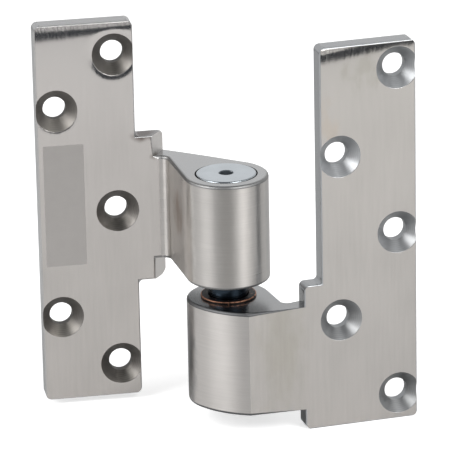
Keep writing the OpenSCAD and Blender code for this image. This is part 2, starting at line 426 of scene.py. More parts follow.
    def _rolled_off(self, sheet: Sheet) -> bpy.types.NodeSocket:
        """Gives the height that buffing took off near upper edges and screw seats.

        Args:
            sheet: The material that is being built.

        Returns:
            A socket with a height in metres, nought on the flat of the leaf.
        """
        power = 3.4
        where = sheet.place((1.0, 1.0, 1.0), self.turn)
        split = sheet.node("ShaderNodeSeparateXYZ", {"Vector": where})
        x, z = split.outputs["X"], split.outputs["Z"]
        streaks = sheet.noise(sheet.place((1400.0, 1400.0, 90.0), self.turn), 1.0, 4.0, 0.65)
        shift = sheet.product(sheet.sums("SUBTRACT", streaks, 0.5), 1.5 * MM)
        total: object = 0.0
        for crown in self.crowns:
            reach = sheet.span(x, crown.start, crown.end, *crown.reach)
            slope = sheet.span(x, crown.start, crown.end, *crown.slope)
            torn = sheet.product(shift, min(1.0, crown.reach[0] / (4.0 * MM)))
            below = sheet.sums("ADD", sheet.sums("SUBTRACT", crown.top, z), torn)
            left = sheet.sums("MAXIMUM", sheet.sums("SUBTRACT", 1.0, sheet.sums("DIVIDE", below, reach)), 0.0)
            drop = sheet.product(sheet.product(slope, reach), sheet.sums("POWER", left, power))
            if crown.fade:
                risen = crown.start + crown.fade
                drop = sheet.product(drop, sheet.span(x, crown.start, risen, 0.0, 1.0, True))
            total = sheet.sums("SUBTRACT", total, sheet.sums("DIVIDE", drop, power))
        flat = sheet.node("ShaderNodeCombineXYZ", {"X": x, "Z": z})
        for lip in self.lips:
            ends = {0: flat.outputs[0], 1: (lip.x, 0.0, lip.z)}
            gap = sheet.node("ShaderNodeVectorMath", ends, operation="DISTANCE")
            away = sheet.sums("ADD", gap.outputs["Value"], sheet.product(shift, 0.6))
            left = sheet.span(away, lip.radius, lip.radius + lip.reach, 1.0, 0.0)
            drop = sheet.product(sheet.sums("POWER", left, power), lip.slope * lip.reach / power)
            total = sheet.sums("SUBTRACT", total, drop)
        return total


@dataclass(frozen=True)
class Plated:
    """A bright plated or blackened metal with fine scuffs.

    Args:
        name: Name of the material.
        colour: Base colour.
        roughness: Mean roughness.
        scuff: How far fine scratches swing the roughness.
        depth: Height of the scratches in metres.
        grain: Direction of the scratches.
        metal: How metallic it is, from 0 to 1.
    """

    name: str
    colour: Colour
    roughness: float
    scuff: float = 0.05
    depth: float = 0.15e-6
    grain: Grain = Grain.CAST
    metal: float = 1.0

    def material(self) -> bpy.types.Material:
        """Builds the node tree and gives the material."""
        sheet = Sheet(self.name)
        scale = (300.0, 300.0, 40.0) if self.grain is Grain.UPRIGHT else (420.0, 420.0, 420.0)
        cells = sheet.noise(sheet.place(scale), 1.0, 6.0, 0.65)
        clouds = sheet.noise(sheet.place((120.0, 120.0, 120.0)), 1.0, 2.0, 0.5)
        dark = tuple(c * 0.86 for c in self.colour)
        smoothest, roughest = self.roughness - self.scuff, self.roughness + self.scuff
        return sheet.made({
            "Metallic": self.metal,
            "Base Color": sheet.shades(clouds, dark, self.colour),
            "Roughness": sheet.span(cells, *NOISE_RANGE, smoothest, roughest),
            "Normal": sheet.bump(sheet.product(cells, self.depth)),
        })


@dataclass(frozen=True)
class Sintered:
    """Porous sintered bronze, dark with oil except where it is rubbed bright.

    Args:
        name: Name of the material.
        copper: Colour of the bare grains.
        pore: Colour of the oiled pores.
        bare: How much of the surface is bare grains, from 0 to 1.
    """

    name: str = "sintered_bronze_oiled"
    copper: Colour = (0.40, 0.20, 0.13)
    pore: Colour = (0.012, 0.010, 0.010)
    bare: float = 0.32

    def material(self) -> bpy.types.Material:
        """Builds the node tree and gives the material."""
        sheet = Sheet(self.name)
        where = sheet.place((1.0, 1.0, 1.0))
        grains = sheet.node("ShaderNodeTexVoronoi", {"Scale": 1500.0, "Vector": where}, feature="F1")
        patches = sheet.noise(where, 500.0, 4.0, 0.7)
        cells = sheet.product(grains.outputs["Distance"], 0.4)
        mask = sheet.sums("ADD", cells, sheet.product(patches, 0.6))
        first = 0.72 - 0.4 * self.bare
        duller = tuple(0.4 * c for c in self.copper)
        stops = ((first, self.pore), (first + 0.06, duller), (first + 0.16, self.copper))
        return sheet.made({
            "Metallic": 0.9,
            "Base Color": sheet.tint(mask, stops),
            "Roughness": sheet.span(mask, 0.4, 0.7, 0.5, 0.36),
            "Normal": sheet.bump(sheet.product(mask, 0.05 * MM)),
        })


@dataclass(frozen=True)
class Film:
    """Thin satin polyester film, blank.

    Args:
        name: Name of the material.
        colour: Base colour.
    """

    name: str = "blank_silver_film"
    colour: Colour = (0.40, 0.382, 0.368)

    def material(self) -> bpy.types.Material:
        """Builds the node tree and gives the material."""
        sheet = Sheet(self.name)
        fibres = sheet.noise(sheet.place((260.0, 260.0, 260.0)), 1.0, 4.0, 0.6)
        return sheet.made({
            "Metallic": 0.55,
            "IOR": 1.5,
            "Base Color": sheet.shades(fibres, tuple(c * 0.95 for c in self.colour), self.colour),
            "Roughness": sheet.span(fibres, *NOISE_RANGE, 0.36, 0.46),
            "Normal": sheet.bump(sheet.product(fibres, 1.5e-6)),
        })


class Bench:
    """An edit-mode session on one piece, which ends in object mode."""

    def __init__(self, piece: bpy.types.Object, mode: str = "FACE") -> None:
        """Keeps the piece and the kind of element that gets selected.

        Args:
            piece: The mesh object to work on.
            mode: VERT, EDGE or FACE.
        """
        self.piece = piece
        self.mode = mode

    def __enter__(self) -> "Bench":
        """Makes the piece the only selected one and opens edit mode."""
        bpy.ops.object.select_all(action="DESELECT")
        self.piece.select_set(True)
        bpy.context.view_layer.objects.active = self.piece
        bpy.ops.object.mode_set(mode="EDIT")
        bpy.ops.mesh.select_mode(type=self.mode)
        bpy.ops.mesh.select_all(action="DESELECT")
        return self

    def __exit__(self, *_: object) -> None:
        """Closes edit mode."""
        bpy.ops.object.mode_set(mode="OBJECT")

    def pick_faces(self, wanted: FaceTest) -> int:
        """Selects the faces whose centre and normal pass the test.

        Args:
            wanted: Test of a face's centre and normal.

        Returns:
            How many faces were selected.
        """
        bpy.ops.mesh.select_all(action="DESELECT")
        mesh = bmesh.from_edit_mesh(self.piece.data)
        count = 0
        for face in mesh.faces:
            if wanted(face.calc_center_median(), face.normal):
                face.select_set(True)
                count += 1
        mesh.select_flush_mode()
        bmesh.update_edit_mesh(self.piece.data)
        return count

    def pick_edges(self, wanted: EdgeTest) -> int:
        """Selects the edges whose two ends and face angle pass the test.

        Args:
            wanted: Test of an edge's ends and its signed face angle, convex above nought.

        Returns:
            How many edges were selected.
        """
        bpy.ops.mesh.select_all(action="DESELECT")
        mesh = bmesh.from_edit_mesh(self.piece.data)
        count = 0
        for edge in mesh.edges:
            if len(edge.link_faces) == 2 and wanted(
                edge.verts[0].co, edge.verts[1].co, edge.calc_face_angle_signed(0.0)
            ):
                edge.select_set(True)
                count += 1
        mesh.select_flush_mode()
        bmesh.update_edit_mesh(self.piece.data)
        return count

    def ease(self, width: float, steps: int = 3, clamped: bool = False) -> None:
        """Rounds the selected edges.

        Args:
            width: Width of the rounding on each face.
            steps: How many faces make the rounding.
            clamped: Whether short edges nearby hold the width back.
        """
        bpy.ops.mesh.bevel(offset=width, offset_type="OFFSET", segments=steps, profile=0.5,
                           affect="EDGES", clamp_overlap=clamped, miter_outer="SHARP")


def merged_copy(node: str, name: str) -> bpy.types.Object:
    """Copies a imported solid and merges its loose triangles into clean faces.

    Args:
        node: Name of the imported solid.
        name: Name of the new piece.

    Returns:
        The new piece, at the origin.
    """
    mesh = frame["nodes"][node].data.copy()
    piece = bpy.data.objects.new(name, mesh)
    bpy.context.scene.collection.objects.link(piece)
    mesh.materials.clear()
    with Bench(piece, "VERT"):
        bpy.ops.mesh.customdata_custom_splitnormals_clear()
        bpy.ops.mesh.select_all(action="SELECT")
        bpy.ops.mesh.remove_doubles(threshold=WELD)
        bpy.ops.mesh.dissolve_limited(angle_limit=math.radians(0.4))
        trim_fins(piece)
        bpy.ops.mesh.normals_make_consistent(inside=False)
    return piece


def trim_fins(piece: bpy.types.Object) -> None:
    """Takes away the fins without thickness that merging can leave beside a fillet.

    Args:
        piece: Piece in edit mode, with vertices as the selected kind.
    """
    folded_angle = math.radians(0.3)
    mesh = bmesh.from_edit_mesh(piece.data)
    moves = []
    for tip in mesh.verts:
        ways = [edge.other_vert(tip).co - tip.co for edge in tip.link_edges]
        level = [way for way in ways if abs(way.z) < HAIR]
        upright = [way for way in ways if abs(way.z) > MM and way.xy.length < HAIR]
        folded = [
            pair for pair in itertools.combinations(level, 2)
            if pair[0].angle(pair[1]) < folded_angle
        ]
        if folded and upright:
            moves.append((tip, min(folded[0], key=lambda way: way.length)))
    for tip, way in moves:
        tip.co += way
    LOG.info("%s: %d corners of fins taken back", piece.name, len(moves))
    bmesh.update_edit_mesh(piece.data)
    bpy.ops.mesh.select_all(action="SELECT")
    bpy.ops.mesh.remove_doubles(threshold=WELD)


def finished(piece: bpy.types.Object, angle: float = 25.0) -> bpy.types.Object:
    """Gives a piece smooth shading that stays crisp at its edges.

    Args:
        piece: The piece to finish.
        angle: Edges sharper than this many degrees stay crisp.

    Returns:
        The same piece.
    """
    bpy.ops.object.select_all(action="DESELECT")
    piece.select_set(True)
    bpy.context.view_layer.objects.active = piece
    bpy.ops.object.shade_smooth_by_angle(angle=math.radians(angle))
    bpy.ops.object.modifier_add(type="WEIGHTED_NORMAL")
    piece.modifiers[-1].keep_sharp = True
    bpy.ops.object.modifier_apply(modifier=piece.modifiers[-1].name)
    return piece


@dataclass
class Leaf:
    """A leaf with its tab, arm and knuckle.

    Args:
        node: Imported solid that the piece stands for.
        body: Body that it rides on.
        name: Name of the piece.
        turn: Angle of the leaf about the pin, in radians.
        face: Distance of the leaf's face along its own Y axis.
        tab_edge: Where the tab ends towards the pin, on its own X axis.
        arm_low: Lowest level of the arm and knuckle.
        arm_high: Highest level of the arm and knuckle.
        holes: Screw holes in the leaf's own X and Z.
        top: Highest level of the leaf.
        rim: Radius that rounds the rims of the arm and knuckle.
        nib: Radius that eases the tab's corners.
        seat_rim: Radius that breaks the edge of each screw seat.
        sink_radius: Radius of a screw seat's rim.
        hole_radius: Radius of a screw hole.
        piece: The leaf, once it is built.
    """

    node: str
    body: str
    name: str
    turn: float
    face: float
    tab_edge: float
    arm_low: float
    arm_high: float
    holes: list[tuple[float, float]]
    top: float
    rim: float = 1.0 * MM
    nib: float = 0.7 * MM
    seat_rim: float = 0.12 * MM
    sink_radius: float = 6.95 * MM
    hole_radius: float = 3.75 * MM
    piece: bpy.types.Object | None = None

    def own(self, point: Vector) -> Vector:
        """Turns a point or direction from the row frame into the leaf's own frame."""
        return Matrix.Rotation(-self.turn, 3, "Z") @ point

    def build(self) -> bpy.types.Object:
        """Makes the leaf with its eased rims and broken edges.

        Returns:
            The finished piece.
        """
        for clamped in (False, True):
            piece = merged_copy(self.node, self.name)
            faces = [tuple(face.vertices) for face in piece.data.polygons]
            solid = BVHTree.FromPolygons([vertex.co for vertex in piece.data.vertices], faces)
            for wanted, width, steps in (
                (self._on_rim, self.rim, 4),
                (self._on_nib, self.nib, 3),
                (self._on_seat_rim, self.seat_rim, 2),
            ):
                with Bench(piece, "EDGE") as bench:
                    count = bench.pick_edges(wanted)
                    if count:
                        bench.ease(width, steps, clamped)
                    LOG.info("%s: %d edges eased by %.2f mm", self.name, count, width / MM)
            strays = sum(solid.find_nearest(vertex.co)[3] > self.rim for vertex in piece.data.vertices)
            if clamped or not strays:
                break
            LOG.info("%s: %d stray points, so it is made again with narrower edges", self.name, strays)
            bpy.data.meshes.remove(piece.data)
        self.piece = piece
        return piece

    def _on_rim(self, first: Vector, second: Vector, angle: float) -> bool:
        """Says whether an edge is on the outer rim of the arm or knuckle."""
        if angle < math.radians(50):
            return False
        low, high = self.own(first), self.own(second)
        for level in (self.arm_low, self.arm_high):
            if abs(low.z - level) < HAIR and abs(high.z - level) < HAIR:
                return min(low.xy.length, high.xy.length) > 12.0 * MM
        return False

    def _on_nib(self, first: Vector, second: Vector, angle: float) -> bool:
        """Says whether an edge is a sharp corner of the tab's end."""
        return False

    def _hole_at(self, point: Vector, slack: float) -> bool:
        """Says whether a point of the leaf's own frame is within a screw hole's reach."""
        return any(math.hypot(point.x - x, point.z - z) < slack for x, z in self.holes)

    def _on_seat_rim(self, first: Vector, second: Vector, angle: float) -> bool:
        """Says whether an edge is the rim of a screw seat, on the leaf's face."""
        if angle < math.radians(25):
            return False
        for point in (self.own(first), self.own(second)):
            if point.y - self.face > 0.03 * MM:
                return False
            if not any(
                abs(math.hypot(point.x - x, point.z - z) - self.sink_radius) < 0.03 * MM
                for x, z in self.holes
            ):
                return False
        return True

    def dress(self) -> None:
        """Gives each surface of the leaf its finish."""
        piece = self.piece
        for finish in self.finishes():
            piece.data.materials.append(replace(finish, turn=self.turn).material())
        with Bench(piece) as bench:
            tests = ((4, self._buffed), (1, self._belted), (2, self._rimmed), (3, self._topped),
                     (5, self._seat), (6, self._bore), (7, self._cornered), (8, self._slanted))
            for index, wanted in tests[:len(piece.data.materials) - 1]:
                count = bench.pick_faces(wanted)
                piece.active_material_index = index
                bpy.ops.object.material_slot_assign()
                finish_name = piece.data.materials[index].name
                LOG.info("%s: %d faces take finish %s", self.name, count, finish_name)
        self._mark_seats(piece)
        finished(piece)
        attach(piece, self.body)
        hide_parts(self.node)

    def _buffed(self, centre: Vector, normal: Vector) -> bool:
        """Says whether a face belongs to the buffed front."""
        return self.own(normal).y < -0.97 and self.own(centre).y < self.face + 0.1 * MM

    def _belted(self, centre: Vector, normal: Vector) -> bool:
        """Says whether a face is a belt-finished wall of the arm or knuckle."""
        spot = self.own(centre)
        wall = abs(normal.z) < 0.9 and self.arm_low - HAIR < spot.z < self.arm_high + HAIR
        return wall and abs(spot.x) < abs(self.tab_edge) - 0.3 * MM and spot.xy.length > 11.0 * MM

    def _slanted(self, centre: Vector, normal: Vector) -> bool:
        """Says whether a face is the slanted end of the tab."""
        return False

    def _cornered(self, centre: Vector, normal: Vector) -> bool:
        """Says whether a face is on the eased edge round the leaf's front."""
        spot, way = self.own(centre), self.own(normal)
        front = self.face - 0.05 * MM < spot.y < self.face + 0.6 * MM and -0.97 < way.y < -0.08
        return front and abs(spot.x) > 17.0 * MM and not self._hole_at(spot, self.sink_radius + 0.3 * MM)

    def _rimmed(self, centre: Vector, normal: Vector) -> bool:
        """Says whether a face is on the rounded rim of the arm or knuckle."""
        spot = self.own(centre)
        near = min(abs(spot.z - self.arm_low), abs(spot.z - self.arm_high)) < self.rim
        return near and 0.1 < abs(normal.z) < 0.97 and 11.0 * MM < spot.xy.length < 30.0 * MM

    def _topped(self, centre: Vector, normal: Vector) -> bool:
        """Says whether a face is the flat top or underside of the arm and knuckle."""
        spot = self.own(centre)
        near = min(abs(spot.z - self.arm_low), abs(spot.z - self.arm_high)) < HAIR
        return near and abs(normal.z) > 0.98

    def _seat(self, centre: Vector, normal: Vector) -> bool:
        """Says whether a face lies in a countersunk seat."""
        spot, way = self.own(centre), self.own(normal)
        inside = self._hole_at(spot, self.sink_radius + 0.02 * MM)
        return inside and -0.95 < way.y < -0.3

    def _bore(self, centre: Vector, normal: Vector) -> bool:
        """Says whether a face is the wall of a bore."""
        spot, way = self.own(centre), self.own(normal)
        screw = self._hole_at(spot, self.hole_radius + 0.05 * MM) and abs(way.y) < 0.2
        pin = spot.xy.length < 10.2 * MM and abs(normal.z) < 0.5
        return screw or pin

    def _mark_seats(self, piece: bpy.types.Object) -> None:
        """Writes each point's distance from its screw's axis, for the turning marks."""
        marks = piece.data.attributes.new("seat", "FLOAT_VECTOR", "POINT")
        for vertex, mark in zip(piece.data.vertices, marks.data):
            spot = self.own(vertex.co)
            away = min(math.hypot(spot.x - x, spot.z - z) for x, z in self.holes)
            mark.vector = (away, 0.0, 0.0)

    def finishes(self) -> Iterable[Steel]:
        """Gives the finishes in the order of the material slots."""
        raise NotImplementedError


@dataclass
class JambLeaf(Leaf):
    """The fixed leaf, whose tab ends on a slant beside the arm.

    Args:
        nib_left: X of the far side of the tab's eased front corners.
        nib_right: X of their near side.
        nib_level: Distance of the corners from the middle level, at least.
        nib_height: Length of the corners' upright edges, at least.
    """

    nib_left: float = -20.6 * MM
    nib_right: float = -15.0 * MM
    nib_level: float = 17.4 * MM
    nib_height: float = 3 * MM

    def _on_rim(self, first: Vector, second: Vector, angle: float) -> bool:
        """Says whether an edge is on the rim, except the arm's back edge."""
        return super()._on_rim(first, second, angle) and max(first.y, second.y) < self.face + 0.1 * MM

    def _on_nib(self, first: Vector, second: Vector, angle: float) -> bool:
        """Says whether an edge is a sharp corner of the slanted end of the tab."""
        if angle < math.radians(30):
            return False
        for point in (first, second):
            if not (abs(point.y - self.face) < 0.6 * MM and self.nib_left < point.x < self.nib_right):
                return False
        length = (first - second).length
        upright = abs(first.z - second.z) > 0.8 * length
        return upright and abs(first.z) > self.nib_level and length > self.nib_height

    def _slanted(self, centre: Vector, normal: Vector) -> bool:
        """Says whether a face is the slanted end of the tab."""
        across = normal.x > 0.4 and normal.y < -0.2 and abs(normal.z) < 0.1
        return across and centre.y > self.face and centre.x > -21.0 * MM

    def _belted(self, centre: Vector, normal: Vector) -> bool:
        """Says whether a face is a belt-finished wall of the arm or knuckle."""
        return super()._belted(centre, normal) and not self._slanted(centre, normal)

    def finishes(self) -> Iterable[Steel]:
        """Gives the finishes in the order of the material slots."""
        far, near, tab_level = mm(-57.15, -25.4, 24.45)
        by_height = sorted(self.holes, key=lambda hole: -hole[1])
        crowns = (
            Crown(self.top, far, near, mm(7.8, 4.4), (0.24, 0.36)),
            Crown(tab_level, near, -self.tab_edge, mm(2.2, 1.2), (0.10, 0.08), fade=1.6 * MM),
        )
        lips = tuple(
            Lip(x, z, self.sink_radius, reach, slope)
            for (x, z), reach, slope in zip(by_height, mm(3.4, 2.2), (0.16, 0.11))
        )
        # Painted reflection and shade: the face is darker low down and lighter at its top.
        tones = (
            (-63.5 * MM, (0.97, 0.965, 0.955)), (-20.0 * MM, (0.95, 0.945, 0.935)),
            (20.0 * MM, (0.97, 0.965, 0.96)), (63.5 * MM, (1.07, 1.07, 1.07)),
        )
        # Painted shade: a brownish darkening on the arm's concave flank.
        flank_painted_shade = TarnishAndPaintedLight(mm(-15.0, 9.0, 2.5), mm(6.5, 8.5, 9.0), (0.58, 0.475, 0.40), 0.3)
        # Painted highlight: a lighter colour over the arm's concave wall.
        hollow_painted_highlight = TarnishAndPaintedLight(mm(-19.0, 12.0, 0.0), mm(8.5, 16.0, 60.0), (1.44, 1.42, 1.40), 0.1)
        # Painted shade: a dark crescent on the tab's top by its fillet.
        tab_top_painted_shade = TarnishAndPaintedLight(mm(-22.4, 25.2, 24.4), mm(7.0, 8.0, 2.2), (0.26, 0.21, 0.195), 0.25)
        # Painted shade: darkening in the crease where the tab meets the arm.
        crevice_painted_shade = TarnishAndPaintedLight(mm(-19.0, 25.0, 17.6), mm(2.6, 4.5, 1.7), (0.40, 0.37, 0.34), 0.3)
        # Painted highlight: a lighter upright strip on the arm's wall near the knuckle.
        rubbed = TarnishAndPaintedLight(mm(-13.2, -2.5, 0.0), mm(2.3, 8.0, 60.0), (1.72, 1.72, 1.71), 0.15)
        # Painted reflection: darker, lighter and darker upright bands down the knuckle's front.
        knuckle_painted_bands = (
            TarnishAndPaintedLight(mm(-2.4, -13.0, 0.0), mm(4.8, 6.0, 90.0), (0.80, 0.795, 0.785), 0.12),
            TarnishAndPaintedLight(mm(3.6, -13.0, 0.0), mm(3.0, 6.0, 90.0), (1.28, 1.27, 1.26), 0.12),
            TarnishAndPaintedLight(mm(12.5, -6.0, 0.0), mm(2.4, 6.0, 90.0), (0.76, 0.77, 0.78), 0.12),
        )
        # Painted shade: the lower part of each screw seat darkened by a listed share.
        seat_painted_shade = tuple(
            TarnishAndPaintedLight(
                (x, self.face + 2.0 * MM, z - 5.0 * MM), mm(6.5, 8.0, 4.6),
                (share, share, 0.97 * share), 0.3,
            )
            for (x, z), share in zip(by_height, (0.64, 1.0, 0.45, 0.9, 0.66))
        )
        return (
            Steel("jamb_edge_satin", (0.315, 0.32, 0.325), 0.05, 0.24, 0.05, Grain.CAST, 0.3e-6,
                  tarnish_and_painted_light=(tab_top_painted_shade,)),
            Steel("jamb_knuckle_belted", (0.485, 0.468, 0.45), 0.09, 0.31, 0.05, Grain.LEVEL, 0.6e-6, 0.9,
                  wave=0.045 * MM, ripple=(110.0, 110.0, 420.0), tarnish_and_painted_light=(hollow_painted_highlight, rubbed, flank_painted_shade, *knuckle_painted_bands)),
            # Painted shade: the rim takes a much darker colour than the knuckle, for the dark line along it.
            Steel("jamb_rim_painted_shade", (0.25, 0.249, 0.247), 0.06, 0.46, 0.05, Grain.CAST, 0.3e-6),
            Steel("jamb_arm_top_ground", (0.37, 0.375, 0.38), 0.05, 0.24, 0.03, Grain.CAST, 0.15e-6),
            Steel("jamb_face_buffed", (0.525, 0.503, 0.487), 0.075, 0.13, 0.03, Grain.UPRIGHT, 0.1e-6,
                  wave=0.02 * MM, crowns=crowns, lips=lips, tones=tones, tarnish_and_painted_light=(tab_top_painted_shade, crevice_painted_shade)),
            # Painted shade: the turned seats take a far darker colour than the face, for the dim room their
            # cones mirror.
            Steel("jamb_seat_turned_painted_shade", (0.215, 0.203, 0.19), 0.30, 0.48, 0.08, Grain.TURNED, 4e-6,
                  tarnish_and_painted_light=seat_painted_shade),
            # Painted shade: the bores take a dark colour for the shade inside them.
            Steel("jamb_bore_painted_shade", (0.07, 0.065, 0.06), 0.10, 0.50, 0.05, Grain.TURNED, 1e-6),
            Steel("jamb_corner_rubbed", (0.46, 0.455, 0.45), 0.08, 0.42, 0.06, Grain.CAST, 0.3e-6),
            # Painted reflection: the slanted end takes a lighter colour than the face, for the bright
            # surround it mirrors.
            Steel("jamb_tab_end_painted_reflection", (0.66, 0.64, 0.62), 0.05, 0.42, 0.05, Grain.UPRIGHT, 0.1e-6,
                  tarnish_and_painted_light=(crevice_painted_shade,)),
        )


@dataclass
class DoorLeaf(Leaf):
    """The swinging leaf, whose arm stays flush with it as far as the knuckle."""

    def finishes(self) -> Iterable[Steel]:
        """Gives the finishes in the order of the material slots."""
        near = 25.4 * MM
        crowns = (
            Crown(self.top, near, 52.0 * MM, mm(8.0, 4.0), (0.23, 0.09)),
            Crown(self.top, near, 36.0 * MM, mm(3.4, 1.2), (0.55, 0.0)),
        )
        # Painted reflection and shade: the face is darker low down and lighter towards its top.
        tones = (
            (-65.5 * MM, (0.955, 0.95, 0.945)),
            (-20.0 * MM, (1.01, 1.005, 0.995)),
            (61.5 * MM, (1.045, 1.04, 1.02)),
        )
        warm = TarnishAndPaintedLight((28.0 * MM, self.face, 32.0 * MM), mm(5.0, 3.0, 14.0), (1.0, 0.955, 0.91), 0.7)
        olive = TarnishAndPaintedLight((40.0 * MM, self.face, 53.0 * MM), mm(7.0, 3.0, 6.0), (0.90, 0.90, 0.87), 0.7)
        dull = TarnishAndPaintedLight((12.0 * MM, self.face, -36.0 * MM), mm(11.0, 5.0, 30.0), (0.90, 0.895, 0.855), 0.25)
        # Painted shade: a darker bluish upright band on the lower knuckle's side.
        knuckle_side_painted_shade = TarnishAndPaintedLight(mm(-13.6, 0.0, -41.0), mm(2.4, 9.0, 30.0), (0.55, 0.57, 0.60), 0.3)
        # Painted shade and reflection: the seats are darker low down and lighter higher up.
        seat_painted_shading = (
            (-52.0 * MM, (0.74, 0.735, 0.72)), (-28.0 * MM, (0.83, 0.825, 0.81)),
            (30.0 * MM, (1.12, 1.12, 1.11)), (52.0 * MM, (0.95, 0.95, 0.94)),
        )
        return (
            Steel("door_edge_satin", (0.29, 0.30, 0.31), 0.05, 0.24, 0.05, Grain.CAST, 0.3e-6),
            Steel("door_knuckle_belted", (0.52, 0.50, 0.482), 0.09, 0.36, 0.05, Grain.LEVEL, 0.6e-6, 0.9,
                  wave=0.045 * MM, ripple=(110.0, 110.0, 420.0), tarnish_and_painted_light=(dull, knuckle_side_painted_shade)),
            # Painted shade: the rim takes a much darker colour than the knuckle, for the dark line along it.
            Steel("door_rim_painted_shade", (0.12, 0.122, 0.124), 0.06, 0.48, 0.05, Grain.CAST, 0.3e-6),
            # Painted shade: the lower knuckle's top is darker than the jamb arm's, for lying under the upper
            # knuckle.
            Steel("door_arm_top_painted_shade", (0.285, 0.29, 0.295), 0.06, 0.24, 0.03, Grain.CAST, 0.12e-6),
            Steel("door_face_buffed", (0.518, 0.498, 0.480), 0.075, 0.13, 0.03, Grain.UPRIGHT, 0.1e-6,
                  wave=0.02 * MM, crowns=crowns, tones=tones, tarnish_and_painted_light=(warm, olive, dull)),
            Steel("door_seat_turned", (0.41, 0.418, 0.43), 0.20, 0.42, 0.07, Grain.TURNED, 4e-6,
                  tones=seat_painted_shading),
            # Painted shade: the bores take a dark colour for the shade inside them.
            Steel("door_bore_painted_shade", (0.26, 0.27, 0.28), 0.08, 0.40, 0.05, Grain.TURNED, 1e-6),
            Steel("door_corner_rubbed", (0.42, 0.43, 0.44), 0.08, 0.42, 0.06, Grain.CAST, 0.3e-6),
        )


@dataclass
class PinCap:
    """Chromed screw cap with a hexagonal key socket.

    Args:
        top: Level of the disc's top.
        socket_reach: Radius that holds the whole socket.
        rim_start: Radius outside which the disc's edge begins.
        piece: The cap, once it is built.
    """

    top: float
    socket_reach: float = 2.4 * MM
    rim_start: float = 9.0 * MM
    piece: bpy.types.Object | None = None

    def build(self) -> bpy.types.Object:
        """Copies the cap and merges its triangles.

        Returns:
            The new piece.
        """
        self.piece = merged_copy("pin_cap", "pin_cap_chromed")
        return self.piece

    def _in_socket(self, centre: Vector, normal: Vector) -> bool:
        """Says whether a face is in the key socket."""
        return centre.xy.length < self.socket_reach and centre.z < self.top - 0.05 * MM

    def _on_rim(self, centre: Vector, normal: Vector) -> bool:
        """Says whether a face is on the disc's edge."""
        return centre.xy.length > self.rim_start and normal.z < 0.98

    def dress(self) -> None:
        """Gives the cap its chrome."""
        for finish in (
            Plated("cap_chrome", (0.46, 0.50, 0.535), 0.10, 0.03),
            Plated("socket_broached", (0.085, 0.10, 0.115), 0.5, 0.05, metal=0.35),
            Plated("cap_edge_chrome", (0.36, 0.39, 0.415), 0.26, 0.06),
        ):
            self.piece.data.materials.append(finish.material())
        with Bench(self.piece) as bench:
            for index, wanted in ((1, self._in_socket), (2, self._on_rim)):
                bench.pick_faces(wanted)
                self.piece.active_material_index = index
                bpy.ops.object.material_slot_assign()
        finished(self.piece)
        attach(self.piece, "jamb")
        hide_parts("pin_cap")


@dataclass
class Bushing:
    """Flanged bronze bushing, whose upper edge is rubbed bright.

    Args:
        top: Level of the flange's top.
        radius: Radius of the flange.
        edge: Width of the rubbed edge.
        piece: The bushing, once it is built.
    """

    top: float
    radius: float
    edge: float = 0.3 * MM
    piece: bpy.types.Object | None = None

    def build(self) -> bpy.types.Object:
        """Copies the bushing and breaks the flange's upper edge.

        Returns:
            The finished piece.
        """
        self.piece = merged_copy("door_bushing", "door_bushing_bronze")
        with Bench(self.piece, "EDGE") as bench:
            count = bench.pick_edges(self._on_edge)
            bench.ease(self.edge, 2)
            LOG.info("bushing: %d edges broken", count)
        return self.piece

    def _on_edge(self, first: Vector, second: Vector, angle: float) -> bool:
        """Says whether an edge is on the flange's upper outer rim."""
        return all(
            abs(point.z - self.top) < HAIR and point.xy.length > self.radius - 0.05 * MM
            for point in (first, second)
        )

    def dress(self) -> None:
        """Gives the bushing its oiled bronze and its rubbed edge."""
        mesh = self.piece.data
        mesh.materials.append(Sintered().material())
        mesh.materials.append(Sintered("sintered_bronze_rubbed", bare=1.0).material())
        with Bench(self.piece) as bench:
            bench.pick_faces(
                lambda centre, normal: centre.xy.length > self.radius - self.edge and 0.15 < normal.z < 0.97
                and centre.z > self.top - self.edge
            )
            self.piece.active_material_index = 1
            bpy.ops.object.material_slot_assign()
        finished(self.piece)
        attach(self.piece, "door")
        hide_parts("door_bushing")


@dataclass
class RatingFilm:
    """Blank film that lies on the jamb leaf's face.

    Args:
        left: Edge nearer the leaf's far edge.
        right: Edge nearer the pin.
        top: Upper edge.
        bottom: Lower edge.
        thick: Thickness of the film.
        corner: Radius of the film's corners.
        piece: The film, once it is laid.
    """

    left: float = -55.4 * MM
    right: float = -42.3 * MM
    top: float = 23.4 * MM
    bottom: float = -17.4 * MM
    thick: float = 0.06 * MM
    corner: float = 0.5 * MM
    piece: bpy.types.Object | None = None

    def build(self, face: float) -> bpy.types.Object:
        """Lays the film on the leaf's face.

        Args:
            face: Y of the leaf's face.

        Returns:
            The finished piece.
        """
        bpy.ops.object.select_all(action="DESELECT")
        centre = ((self.left + self.right) / 2, face - self.thick / 2, (self.top + self.bottom) / 2)
        bpy.ops.mesh.primitive_cube_add(size=1.0, location=centre)
        piece = bpy.context.active_object
        piece.name = "blank_film"
        piece.scale = (self.right - self.left, self.thick, self.top - self.bottom)
        bpy.ops.object.transform_apply(location=True, rotation=True, scale=True)
        with Bench(piece, "EDGE") as bench:
            bench.pick_edges(lambda a, b, angle: abs(a.y - b.y) > 0.9 * self.thick)
            bench.ease(self.corner, 4)
        self.piece = piece
        return piece

    def dress(self) -> None:
        """Gives the film its satin silver."""
        self.piece.data.materials.append(Film().material())
        finished(self.piece)
        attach(self.piece, "jamb")


